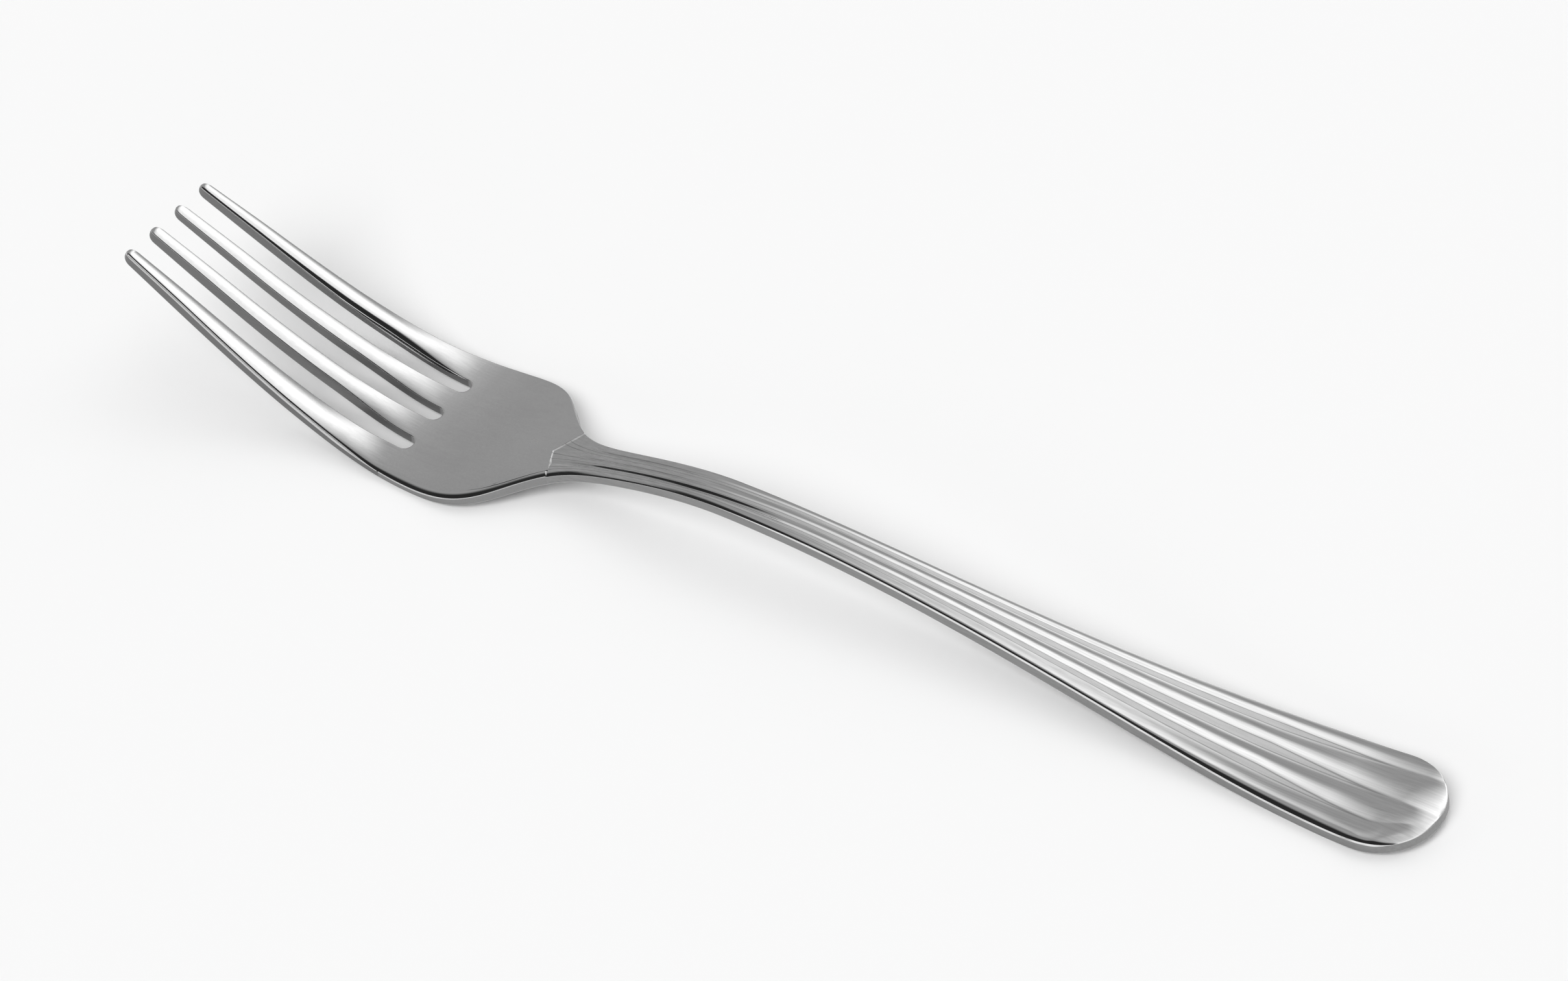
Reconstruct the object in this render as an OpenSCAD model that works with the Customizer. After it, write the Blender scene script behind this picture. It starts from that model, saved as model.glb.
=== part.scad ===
// Cake fork: one steel blank with a fluted handle, a plain head and four tines.
// The blank is laid out flat, x from the handle end to the tine tips and y across,
// and then bent along its side profile. All sizes are in millimetres.

/* [Length] */
// length from the handle end to the tine tips
length = 150; // [135:1:180]
// length of the head, from its shoulder to the tine tips
head_len = 47.3; // [45:0.1:52]
// length of the slots between the tines
tine_len = 34.3; // [28:0.1:37]

/* [Handle outline] */
// width of the handle near its rounded end
end_w = 11.85; // [8:0.1:18]
// distance over which the handle narrows towards the neck
flare_len = 37; // [26:0.5:50]
// width of the neck
neck_w = 3.8; // [2.8:0.1:6]
// length of the rounded end of the handle
cap_len = 6.3; // [4:0.1:7.8]
// squareness of the rounded end: 2 is a plain ellipse
cap_power = 2.1; // [1.8:0.05:3]

/* [Head outline] */
// width across the sides of the head where they reach the shoulder
head_w = 21.3; // [18:0.1:27]
// width over the outer tines at their tips
tip_w = 13.1; // [12:0.1:17]
// softness of the curve from the neck into the shoulder
shoulder_soft = 2.15; // [1.5:0.05:3]

/* [Tines] */
// spacing of the slots at their round ends
root_pitch = 4.8; // [4.3:0.05:5.5]
// spacing of the slots at the tine tips
tip_pitch = 4.05; // [3.7:0.05:4.7]
// width of a slot at its round end
slot_root_w = 1.95; // [1.2:0.05:2.4]
// width of a slot at the tine tips
slot_tip_w = 2.65; // [2:0.05:2.9]
// squareness of a tine across its width: 2 is a plain ellipse
tine_power = 2.8; // [2:0.1:4]
// rise of the underside of the inner tines, as a share of the crown of the head
tine_lift = 0.5; // [0:0.05:1]
// length over which a tine tip is rounded
tip_round = 1.2; // [0.6:0.05:2.5]

/* [Side profile] */
// distance from the handle end to the middle of the flat that the handle rests on
rest_x = 10.8; // [10:0.1:16]
// length of the two flats on the underside, at the handle and at the head, that the fork rests on
rest_flat = 1.2; // [1:0.1:4]
// rise of the handle end beyond the flat
tail_lift = 0.9; // [0:0.05:2]
// height of the underside at the top of the arch
arch_h = 5.7; // [2:0.1:12]
// distance from the top of the arch to the tine tips
arch_len = 72; // [64:0.1:80]
// distance from the lowest point of the head to the tine tips
dip_len = 36.6; // [33:0.1:41]
// height of the underside at the tine tips
tip_rise = 13.6; // [6:0.1:20]
// slope of the tines at their tips, in degrees
tip_angle = 28; // [15:0.5:45]

/* [Thickness] */
// edge thickness of the handle
handle_t = 1.5; // [1.1:0.05:2.5]
// edge thickness of the neck
neck_t = 1.35; // [1:0.05:2.5]
// edge thickness of the head
head_t = 1; // [0.9:0.05:2]
// thickness of the tines at their tips
tip_t = 1.55; // [1:0.05:2]
// height of the middle of the head over its edges
head_crown = 0.5; // [0:0.05:1]
// hollow under the middle of the head, as a share of that height
head_hollow = 0.35; // [0.1:0.05:0.8]
// radius of the broken edges
edge_r = 0.3; // [0.15:0.01:0.35]

/* [Fluting] */
// height of the middle rib over the handle edges
rib_crown = 0.55; // [0.2:0.05:1]
// height of the middle rib over the edge at the handle end
end_crown = 0.2; // [0:0.05:0.5]
// place of the side ribs, as a share of the half width
side_rib = 0.58; // [0.45:0.01:0.7]
// depth of a flute, as a share of its width
flute_depth = 0.1; // [0.02:0.01:0.14]
// flat top of a rib in the middle of the handle, as a share of a flute
rib_flat = 0.13; // [0.02:0.01:0.2]
// distance from the handle end at which the ribs have become sharp
rib_sharp_x = 9; // [4:0.5:14]
// distance from the shoulder back to the chevron at the edges of the neck
seam_back = 3.6; // [2:0.1:6]
// distance by which the chevron points forward in the middle
seam_point = 1.4; // [0.5:0.1:3]
// step at the chevron, down from the head to the flutes
seam_step = 0.12; // [0.05:0.01:0.2]

/* [Hidden] */
steel = "#c8cacc";
shoulder_x = length - head_len;
seam_x = shoulder_x - seam_back;
arch_x = length - arch_len;
// where the flat under the handle and the flat under the head begin and end
tail_x = [rest_x - rest_flat / 2, rest_x + rest_flat / 2];
dip_x = [length - dip_len - rest_flat / 2, length - dip_len + rest_flat / 2];
// line across the head where the round slot ends are over and the tines begin
root_x = length - tine_len + slot_root_w / 2;
// columns across the blank: seven on each land of the head, five on each slot end
cols = 42;
land_cols = 6;
land_step = 12;
mid_col = cols / 2;
// place on the outline that gives the width of the strip at the very end of the handle
nose_x = 0.03;
// rows along the handle and along the head
cap_rows = 9;
handle_rows = 24;
head_rows = 17;
// shares of the edge radius at which the rounding is followed
edge_at = [0, 0.3, 1];
// offsets of the last rows of the head from the slot ends, in edge radii
near_slot = [3, 1, 0.3];

function mix(a, b, t) = a + (b - a) * t;
function ease(t) = let (c = max(0, min(1, t))) c * c * (3 - 2 * c);

// side profile: height of the underside, its slope, and a flat point put in its bent place
function tines_up(s) =
    tip_rise * s * s * (3 - 2 * s) + tan(tip_angle) * (length - dip_x[1]) * s * s * (s - 1);
function under(x) =
    x < tail_x[0] ? tail_lift * pow(1 - x / tail_x[0], 2)
    : x < tail_x[1] ? 0
    : x < arch_x ? arch_h * ease((x - tail_x[1]) / (arch_x - tail_x[1]))
    : x < dip_x[0] ? arch_h * ease((dip_x[0] - x) / (dip_x[0] - arch_x))
    : x < dip_x[1] ? 0
    : tines_up((x - dip_x[1]) / (length - dip_x[1]));
function lean(x) = atan((under(x + 0.05) - under(x - 0.05)) / 0.1);
function put(x, y, h) =
    let (a = lean(x), m = wall(x) / 2)
    [x - (h - m) * sin(a) - length / 2, y, under(x) + m + (h - m) * cos(a)];

// plan outline: half width, and the angle of the edge to the length
function head_line(x) = mix(head_w, tip_w, (x - shoulder_x) / head_len) / 2;
function body_w(x) =
    let (n = neck_w / 2)
    n + (end_w / 2 - n) * exp(-pow(x / flare_len, 2))
      + (head_line(x) - n) / (1 + exp((shoulder_x - x) / shoulder_soft));
function cap_share(x) =
    x < cap_len ? pow(1 - pow((cap_len - x) / cap_len, cap_power), 1 / cap_power) : 1;
function half_w(x) = body_w(x) * cap_share(x);
function turn(x) = atan((half_w(x + 0.01) - half_w(x - 0.01)) / 0.02);

// thickness at the edge, crown over it, and the rounding at a distance from an edge
function wall(x) =
    mix(mix(handle_t, neck_t, ease((x - flare_len / 2) / (arch_x - flare_len / 2))),
        mix(head_t, tip_t, ease((x - root_x) / (length - root_x))),
        ease((x - seam_x + 8) / 20));
function crown(x) =
    x < seam_x ? mix(mix(end_crown, rib_crown, ease(x / flare_len * 1.6)), head_crown,
                     ease((x - arch_x) / (seam_x - arch_x)))
    : head_crown * (1 - ease((x - root_x) / (length - root_x)));
function dome(x, y) = crown(x) * (1 - pow(min(1, abs(y) / half_w(x)), 2.2));
function drop(d) =
    let (u = max(0, 1 - d / edge_r)) edge_r * (1 - sqrt(max(0, 1 - u * u)));
function hollow(x, y) = head_hollow * dome(x, y) * ease((x - seam_x) / (dip_x[0] - seam_x));
function face_h(x, y, d, up) = up ? wall(x) + dome(x, y) - drop(d) : hollow(x, y) + drop(d);

// flutes: scallops between the middle rib, the side ribs and the edges
function scallop(t, flat) = sin(180 * max(0, min(1, (t - flat) / (1 - 2 * flat))));
function flat_at(x) = rib_flat * ease((x - rib_sharp_x) / (flare_len - rib_sharp_x));
function flute(x, y) =
    let (w = body_w(x), a = abs(y) / w)
    a < side_rib ? flute_depth * side_rib * w * scallop(a / side_rib, flat_at(x))
    : flute_depth * 0.6 * (1 - side_rib) * w * scallop((a - side_rib) / (1 - side_rib), flat_at(x));
function flute_fade(x, y) =
    let (u = max(0, cap_len - x) / cap_len, v = y / body_w(x))
    ease(1.6 * (1 - sqrt(u * u + v * v * ease(u)))) * mix(0.55, 1, ease((seam_x - x) / 12));
function sunk(x) = seam_step * ease(1 - (seam_x - x) / 25);

// distance from an edge and place across the width for a column of the handle
function rim(j) = min(j, cols - j);
function edge_in(j) = edge_at[min(2, rim(j))] * edge_r;
function across(j) = max(-1, min(1, (j - mid_col) / (mid_col - 2)));
function seam_at(j) = seam_x + seam_point * (1 - abs(j - mid_col) / mid_col);
function rim_pt(x, j) =
    let (b = turn(x), e = edge_in(j))
    [x + e * sin(b), across(j) * (half_w(x) - e * cos(b))];
function seam_pt(j, up) =
    let (p = rim_pt(seam_at(j), j)) put(p[0], p[1], face_h(p[0], p[1], edge_in(j), up));
function rib_h(x, y, j, up) =
    face_h(x, y, edge_in(j), up)
    - (up && rim(j) > 1 ? sunk(x) + flute(x, y) * flute_fade(x, y) : 0);
function handle_pt(s, j, up) =
    let (p = rim_pt(s + (seam_at(j) - seam_x) * ease((s - arch_x) / (seam_x - arch_x)), j))
    put(p[0], p[1], rib_h(p[0], p[1], j, up));

// flat strip at the very end of the handle
function nose_pt(j, up) =
    put(0, (j / mid_col - 1) * half_w(nose_x), up ? wall(0) - edge_r : edge_r);

// edges of land k at distance x, and its points: squared at the head, rounded along the tine
function along(x) = (x - root_x) / (length - root_x);
function pitch(x) = mix(root_pitch, tip_pitch, along(x));
function gap(x) = mix(slot_root_w, slot_tip_w, pow(along(x), 2)) / 2;
function low_edge(k, x) = k == 0 ? -half_w(x) : (k - 2) * pitch(x) + gap(x);
function high_edge(k, x) = -low_edge(3 - k, x);
function land_in(l) = edge_at[min(2, min(l, land_cols - l))] * edge_r;
function square_y(k, l, x) =
    l < 3 ? low_edge(k, x) + land_in(l)
    : l > 3 ? high_edge(k, x) - land_in(l)
    : (low_edge(k, x) + high_edge(k, x)) / 2;
function full(t) = sign(t) * pow(abs(t), 2 / tine_power);
function round_pt(k, l, x, up) =
    let (m = (low_edge(k, x) + high_edge(k, x)) / 2,
         a = (high_edge(k, x) - low_edge(k, x)) / 2,
         f = (l - 3) * 28,
         t = wall(x) + dome(x, m),
         b = tine_lift * dome(x, m) * ease(3 * along(x)))
    [m + a * full(sin(f)) / full(sin(84)),
     up ? t * (0.4 + 0.6 * full(cos(f))) : b + (t - b) * 0.4 * (1 - full(cos(f)))];
function tip_share(x) =
    let (u = max(0, 1 - (length - x) / tip_round)) sqrt(max(0.03, 1 - u * u));
function land_pt(k, l, x, up) =
    let (y = square_y(k, l, x),
         d = l == 3 ? edge_r : land_in(l),
         s = [y, face_h(x, y, d, up)],
         p = mix(s, round_pt(k, l, x, up), ease(2.2 * along(x))),
         c = [(low_edge(k, x) + high_edge(k, x)) / 2, 0.5 * wall(x)],
         q = mix(c, p, tip_share(x)))
    put(x, q[0], q[1]);

// columns of the head: k counts the lands and the slots, n counts across each of them
function land_no(j) = floor(j / land_step);
function land_col(j) = j % land_step;
function on_land(j) = land_col(j) <= land_cols;
function slot_dir(j) = (land_col(j) - land_cols - 3) * 30;
function slot_mid(j) = (land_no(j) - 1) * root_pitch;
function slot_dist(x, y) =
    min([for (k = [-1:1]) norm([x - root_x, y - k * root_pitch])]) - slot_root_w / 2;
function goal(j, off) =
    on_land(j) ? [root_x - off, square_y(land_no(j), land_col(j), root_x)]
    : [root_x, slot_mid(j)] + (slot_root_w / 2 + off) * [-cos(slot_dir(j)), sin(slot_dir(j))];
function span_pt(j, f) =
    let (g = goal(j, near_slot[0] * edge_r),
         x = mix(seam_at(j), g[0], f),
         share = g[1] / (half_w(g[0]) - edge_r),
         edge = rim_pt(x, j))
    rim(j) < 3 ? edge : [x, mix(across(j), share, ease(f)) * (half_w(x) - edge_r * cos(turn(x)))];
function head_flat(i, j) =
    i < head_rows ? span_pt(j, i / (head_rows - 1))
    : let (off = near_slot[i - head_rows + 1] * edge_r)
      rim(j) < 3 ? rim_pt(root_x - off, j) : goal(j, off);
function head_pt(i, j, up) =
    let (p = head_flat(i, j), d = rim(j) < 3 ? edge_in(j) : slot_dist(p[0], p[1]))
    put(p[0], p[1], face_h(p[0], p[1], d, up));
function slot_pt(j, up) =
    let (p = goal(j, 0)) put(p[0], p[1], face_h(p[0], p[1], 0, up));
function root_pt(j, up) =
    on_land(j) ? land_pt(land_no(j), land_col(j), root_x, up) : slot_pt(j, up);

// stations along the handle and along a tine
handle_at = concat(
    [for (i = [0:cap_rows]) 3 * nose_x + (cap_len - 3 * nose_x) * (1 - cos(90 * i / cap_rows))],
    tail_x,
    [for (i = [1:handle_rows]) mix(tail_x[1], seam_x - 0.6, i / handle_rows)],
    [seam_x - 0.15]);
tine_at = concat(
    [for (i = [1:12]) mix(root_x, length - tip_round, i / 12)],
    [for (i = [1:5]) length - tip_round * (1 - sin(18 * i))]);

// solid between a grid of top points and a grid of bottom points
module slab(top, bottom) {
    r = len(top);
    c = len(top[0]);
    n = r * c;
    points = concat([for (row = top) each row], [for (row = bottom) each row]);
    sheet = [for (i = [0:r - 2], j = [0:c - 2]) let (a = i * c + j) [a, a + 1, a + c + 1, a + c]];
    sides = [for (i = [0:r - 2]) let (a = i * c, b = a + c - 1)
        each [[a, a + c, a + c + n], [a, a + c + n, a + n],
              [b + c, b, b + n], [b + c, b + n, b + c + n]]];
    ends = [for (j = [0:c - 2]) let (b = (r - 1) * c + j)
        each [[j + 1, j, j + n], [j + 1, j + n, j + 1 + n],
              [b, b + 1, b + n], [b + 1, b + 1 + n, b + n]]];
    over = [for (q = sheet) each [[q[0], q[1], q[2]], [q[0], q[2], q[3]]]];
    below = [for (t = over) [t[0] + n, t[2] + n, t[1] + n]];
    polyhedron(points, concat(over, below, sides, ends));
}

function handle_grid(up) = concat(
    [[for (j = [0:cols]) nose_pt(j, up)]],
    [for (s = handle_at) [for (j = [0:cols]) handle_pt(s, j, up)]],
    [[for (j = [0:cols]) seam_pt(j, up)]]);
function head_grid(up) = concat(
    [[for (j = [0:cols]) seam_pt(j, up)]],
    [for (i = [1:head_rows + 1]) [for (j = [0:cols]) head_pt(i, j, up)]],
    [[for (j = [0:cols]) root_pt(j, up)]]);
function tine_grid(k, up) = concat(
    [[for (l = [0:land_cols]) land_pt(k, l, root_x, up)]],
    [for (x = tine_at) [for (l = [0:land_cols]) land_pt(k, l, x, up)]]);

module handle() {
    color(steel) slab(handle_grid(true), handle_grid(false));
}

module head() {
    color(steel) slab(head_grid(true), head_grid(false));
}

module tine(k) {
    color(steel) slab(tine_grid(k, true), tine_grid(k, false));
}

module tine_1() {
    tine(0);
}

module tine_2() {
    tine(1);
}

module tine_3() {
    tine(2);
}

module tine_4() {
    tine(3);
}

handle();
head();
tine_1();
tine_2();
tine_3();
tine_4();
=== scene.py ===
# %% [markdown]
# # A cake fork in polished steel
#
# A fork like this is cut flat from steel strip, pressed between dies and bent to its side
# profile. The script follows the same order: it cuts a flat blank for each piece, presses the
# flutes into the handle, and bends everything along one profile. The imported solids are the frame
# that the finished pieces stand in for, so the driving sizes here are the solids' own, apart from
# a few tenths of a millimetre.

# %% Load the frame
import math

import bmesh
import bpy
import numpy as np
from mathutils import Matrix, Vector


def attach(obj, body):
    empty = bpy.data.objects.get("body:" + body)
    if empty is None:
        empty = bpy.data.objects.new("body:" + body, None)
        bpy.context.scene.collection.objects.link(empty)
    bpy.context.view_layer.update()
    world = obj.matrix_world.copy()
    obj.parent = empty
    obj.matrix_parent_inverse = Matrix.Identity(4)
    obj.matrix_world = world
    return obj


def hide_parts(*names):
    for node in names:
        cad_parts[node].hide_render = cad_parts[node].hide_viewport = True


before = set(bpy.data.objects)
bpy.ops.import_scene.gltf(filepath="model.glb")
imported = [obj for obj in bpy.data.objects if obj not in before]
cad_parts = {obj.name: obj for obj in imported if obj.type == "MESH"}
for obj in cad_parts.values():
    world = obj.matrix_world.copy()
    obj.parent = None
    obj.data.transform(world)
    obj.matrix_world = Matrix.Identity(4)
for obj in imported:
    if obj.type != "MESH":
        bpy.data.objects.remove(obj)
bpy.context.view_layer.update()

print("solids:", sorted(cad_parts))

# %% [markdown]
# ## Driving sizes
#
# The flat blank is laid out with x from the end of the handle to the tips of the tines, y across
# it and z up from its underside. One length, a few widths and a few thicknesses drive everything.

# %% Sizes of the blank
mm = 0.001

length = 150 * mm
head_len = 47.3 * mm
tine_len = 34.3 * mm
shoulder_x = length - head_len

end_w = 11.85 * mm
flare_len = 37 * mm
neck_w = 3.8 * mm
cap_len = 6.3 * mm
cap_power = 2.1
head_w = 21.298 * mm
tip_w = 13.1 * mm
shoulder_soft = 2.15 * mm

handle_t = 1.5 * mm
neck_t = 1.35 * mm
head_t = 1.0 * mm
tip_t = 1.55 * mm
head_crown = 0.28 * mm
neck_crown = 0.05 * mm
head_hollow = 0.6
rib_crown = 0.06 * mm
end_crown = 0.1 * mm

root_pitch = 4.8 * mm
tip_pitch = 4.05 * mm
slot_root_w = 1.95 * mm
slot_tip_w = 2.65 * mm
root_x = length - tine_len + slot_root_w / 2

arch_x = length - 72 * mm
dip_x = length - 36.6 * mm
rest_flat = 1.2 * mm
seam_x = shoulder_x - 3.4 * mm
seam_point = 1.55 * mm
print("shoulder, seam and slot ends in mm:", [round(v / mm, 2) for v in (shoulder_x, seam_x, root_x)])

# %% [markdown]
# ## The outline and the thickness
#
# Seen from above, the edge is a bell curve that narrows the handle into the neck and a soft step
# that widens the neck into the head. A superellipse closes the end of the handle. These are
# formulas rather than traced points, so a blank can be cut as finely as a reflection needs.


# %% Outline rules
def mix(a, b, t):
    return a + (b - a) * t


def ease(t):
    t = np.clip(t, 0, 1)
    return t * t * (3 - 2 * t)


def past(x, start, reach):
    """Share of the way along the fork from a start to a place further on."""
    return ease((x - start) / reach)


def body_width(x):
    """Half width without the rounding of the handle end."""
    neck = neck_w / 2
    head_side = mix(head_w, tip_w, (x - shoulder_x) / head_len) / 2
    flare = (end_w / 2 - neck) * np.exp(-((x / flare_len) ** 2))
    shoulder = (head_side - neck) / (1 + np.exp((shoulder_x - x) / shoulder_soft))
    return neck + flare + shoulder


def half_width(x):
    back = np.clip((cap_len - x) / cap_len, 0, 1)
    return body_width(x) * (1 - back**cap_power) ** (1 / cap_power)


def edge_angle(x):
    """Angle between the edge and the length of the fork; square to it at the very end."""
    step = 0.01 * mm
    slope = (half_width(x + step) - half_width(x - step)) / (2 * step)
    return np.where(x <= 0, np.pi / 2, np.arctan(slope))


def seam_reach(across):
    """How far the chevron reaches into the head, so that its two arms are straight lines."""
    reach = seam_point * (1 - np.abs(across))
    for _ in range(12):
        reach = seam_point * (1 - np.abs(across) * half_width(seam_x + reach) / half_width(seam_x))
    return reach


print("widths in mm at the end, neck and head:",
      [round(2 * float(half_width(v * mm)) / mm, 2) for v in (12, 85, 112)])


# %% Thickness rules
crown_power = 2.2
broad_share = 0.36


def wall(x):
    """Thickness at the edge."""
    handle = mix(handle_t, neck_t, past(x, flare_len / 2, arch_x - flare_len / 2))
    head = mix(head_t, tip_t, past(x, root_x, length - root_x))
    return mix(handle, head, past(x, seam_x + 1 * mm, 14 * mm))


def dome(x, y):
    """Height of the top over its edges. On the head it grows with the width."""
    handle = mix(end_crown, rib_crown, ease(x / flare_len * 1.6))
    handle = mix(handle, neck_crown, past(x, flare_len, arch_x - flare_len))
    broad = ease((half_width(x) - neck_w / 2) / (broad_share * head_w))
    head = head_crown * broad * (1 - past(x, root_x, length - root_x))
    crown = mix(handle, head, past(x, arch_x, seam_x - arch_x))
    share = np.minimum(1, np.abs(y) / np.maximum(half_width(x), 1e-9))
    return crown * (1 - share**crown_power)


def hollow(x, y):
    """Hollow under the middle of the head."""
    return head_hollow * dome(x, y) * past(x, seam_x, dip_x - rest_flat / 2 - seam_x)


print("walls in mm at the end, neck, head and tips:",
      [round(float(wall(v * mm)) / mm, 2) for v in (12, 85, 112, 150)])

# %% [markdown]
# ## Rolled edges
#
# A polished fork has hardly a sharp rim: a buffing wheel rolls the upper edge over and stops where
# the ground side wall begins. The roll is an arc that meets the wall in a crisp line. The two sides
# of this fork were buffed differently. The left edge is rolled over all the way, with a narrow
# bevel below the roll along the handle. The right edge of the handle and the punched slots stay
# crisp. The end has hardly a roll either, but its last few millimetres are worn down, so that the
# end catches the light. A bevel modifier would give every edge the same arc, so the arc is a
# formula of the place along the edge instead.

# %% Roll of an edge
roll_points = 8
turn_shares = np.linspace(1, 0, roll_points)
plain_limit = math.radians(52)
end_limit = math.radians(21)
crisp_limit = math.radians(2)
slot_r = 0.12 * mm
under_r = 0.16 * mm


def roll_steps(limit):
    """Insets of the points on a roll with a radius of one, from the wall to the top."""
    return np.sin(limit) - np.sin(limit * turn_shares)


def rounding(inset, radius, limit=plain_limit):
    """Drop of a rolled edge at a distance inside the edge."""
    lean = np.clip(np.sin(limit) - inset / radius, 0, 1)
    return radius * (1 - np.sqrt(1 - lean**2))


# %% Radii along the outer edge
end_r = 0.3 * mm
corner_r = 0.45 * mm
broad_r = 1.0 * mm
shaft_r = 0.35 * mm
neck_r = 0.65 * mm
arch_r = 0.9 * mm
right_r = 0.1 * mm
head_left_r = 1.0 * mm
head_right_r = 0.25 * mm
tine_r = 0.25 * mm
left_rolls = (
    (broad_r, 3 * mm, 5 * mm),
    (shaft_r, 12 * mm, 24 * mm),
    (neck_r, 65 * mm, 18 * mm),
    (arch_r, 84 * mm, 8 * mm),
)


def past_end(x):
    return past(x, 1 * mm, 3 * mm)


def rim_radius(x, side):
    """Radius of the rolled outer edge. The two sides of the fork are buffed differently."""
    left = corner_r
    for radius, start, reach in left_rolls:
        left = mix(left, radius, past(x, start, reach))
    handle = mix(end_r, np.where(side > 0, left, right_r), past_end(x))
    head = np.where(side > 0, head_left_r, head_right_r)
    head = mix(handle, head, past(x, shoulder_x - 3 * mm, 5 * mm))
    return mix(head, tine_r, past(x, 112 * mm, 12 * mm))


# %% The outer edge
bevel_w = 0.085 * mm
bevel_slope = math.tan(math.radians(59))
end_worn = 4 * mm
end_worn_left = 3 * mm
end_worn_right = -1.5 * mm
end_radius = 14 * mm


def rim_limit(x, side):
    """Angle at which the roll stops: shallow round the end, next to nothing along the right side."""
    right = mix(crisp_limit, plain_limit, past(x, 70 * mm, 25 * mm))
    return mix(end_limit, np.where(side > 0, plain_limit, right), past_end(x))


def bevel_width(x, side):
    """Width of the bevel outside the roll, on the left of the handle only."""
    width = np.where(side > 0, bevel_w, 0)
    return width * past(x, 2 * mm, 2 * mm) * (1 - past(x, 66 * mm, 16 * mm))


def rim_drop(x, side, inset):
    """Drop of the outer edge: the roll, and the bevel outside it."""
    bevel = bevel_width(x, side)
    roll = rounding(np.maximum(inset - bevel, 0), rim_radius(x, side), rim_limit(x, side))
    return roll + np.maximum(bevel - inset, 0) * bevel_slope


def end_drop(x, y):
    """Drop of the last few millimetres, which the wheel wore down, more so on the left."""
    share = y / (end_w / 2)
    worn = end_worn + np.where(y > 0, end_worn_left, end_worn_right) * share**2
    return np.maximum(0, worn - x) ** 2 / (2 * end_radius)


def edge_points(x, across, inset, pull=1):
    """Flat places at an inset from the edges, spread across the width between them."""
    angle = edge_angle(x)
    inner = np.maximum(0, half_width(x) - inset * np.cos(angle))
    return x + pull * inset * np.sin(angle), across * inner


print("rolled edge in mm at the end, neck and head:",
      [round(float(rim_radius(v * mm, 1)) / mm, 2) for v in (0, 85, 112)])

# %% [markdown]
# ## Closed solids from two sheets
#
# Each piece is a sheet of top points over a sheet of underside points, and a wall joins their
# rims. Two more rings of points lie on the wall, close to the rims, so that smooth shading keeps it
# flat. They carry a mark called ground, which lets the finish of the side walls differ from the
# buffed faces. The walls take a duller finish and a darker colour. The darker colour is partly that
# finish and partly painted shade, standing in for the shaded floor that the walls mirror. The edge
# between the roll and the wall is kept sharp.

# %% Marks that every piece carries
under_satin = 0.6
rolled = 0.001 * mm


def satin_of(x, roll):
    """Share of a fine satin finish: full on the neck and head, none on rolled edges and tines."""
    from_handle = past(x, 72 * mm, 22 * mm)
    to_tines = 1 - past(x, root_x - 2 * mm, 6 * mm)
    return from_handle * to_tines * (roll < rolled)


def common_marks(x, roll):
    """Half the wall, which bending turns about, and the share of satin, above and below."""
    half_wall = wall(x) / 2
    return {
        "half_wall": (half_wall, half_wall),
        "satin": (satin_of(x, roll), np.full(x.shape, under_satin)),
    }


# %% Join two sheets into a solid
ring_share = 0.06
merge_gap = 1e-4 * mm
crisp_turn = math.radians(50)


def sheet_faces(grid):
    corners = grid[:-1, :-1], grid[:-1, 1:], grid[1:, 1:], grid[1:, :-1]
    return np.stack(corners, -1).reshape(-1, 4)


def rim_of(grid):
    return np.concatenate([grid[0, :-1], grid[:-1, -1], grid[-1, :0:-1], grid[:0:-1, 0]])


def solid(name, top, under, marks, creases=()):
    """An object between two grids of points, with pairs of grids as marks and some crisp columns."""
    rows, cols = top.shape[:2]
    grid = np.arange(rows * cols).reshape(rows, cols)
    sheets = np.concatenate([top.reshape(-1, 3), under.reshape(-1, 3)])
    upper, lower = rim_of(grid), rim_of(grid) + rows * cols
    near_top = mix(sheets[upper], sheets[lower], ring_share)
    near_under = mix(sheets[upper], sheets[lower], 1 - ring_share)
    points = np.concatenate([sheets, near_top, near_under])
    first = len(sheets) + np.arange(len(upper))
    faces = [sheet_faces(grid), sheet_faces(grid + rows * cols)[:, ::-1]]
    rings = [upper, first, first + len(upper), lower]
    for high, low in zip(rings, rings[1:]):
        faces.append(np.stack([high, low, np.roll(low, -1), np.roll(high, -1)], -1))
    mesh = bpy.data.meshes.new(name)
    mesh.from_pydata(points.tolist(), [], np.concatenate(faces).tolist())
    for mark, (on_top, on_under) in marks.items():
        values = np.concatenate([np.ravel(on_top), np.ravel(on_under)])
        values = np.concatenate([values, values[upper], values[lower]])
        add_mark(mesh, mark, values)
    add_mark(mesh, "ground", np.arange(len(points)) >= len(sheets))
    close(mesh, [upper, *(grid[:, column] for column in creases)])
    piece = bpy.data.objects.new(name, mesh)
    bpy.context.scene.collection.objects.link(piece)
    print(name, "blank:", len(mesh.vertices), "points,", len(mesh.polygons), "faces")
    return piece


def add_mark(mesh, name, values):
    mark = mesh.attributes.new(name, "FLOAT", "POINT")
    mark.data.foreach_set("value", np.asarray(values, np.float32))


def close(mesh, lines):
    """Merges doubled points, turns all faces outwards and keeps the given lines crisp."""
    made = bmesh.new()
    made.from_mesh(mesh)
    made.verts.ensure_lookup_table()
    for line in lines:
        for a, b in zip(line, np.roll(line, -1)):
            edge = made.edges.get((made.verts[a], made.verts[b]))
            if edge:
                edge.smooth = False
    bmesh.ops.remove_doubles(made, verts=made.verts, dist=merge_gap)
    bmesh.ops.recalc_face_normals(made, faces=made.faces)
    for face in made.faces:
        face.smooth = True
    for edge in made.edges:
        if edge.calc_face_angle(0) > crisp_turn:
            edge.smooth = False
    made.to_mesh(mesh)
    made.free()


# %% [markdown]
# ## The handle blank
#
# Rows run across the handle. They crowd together at the rounded end and at the chevron, where the
# shape changes fastest. The outer columns follow the rolled edge, and the rest spread evenly.

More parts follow.
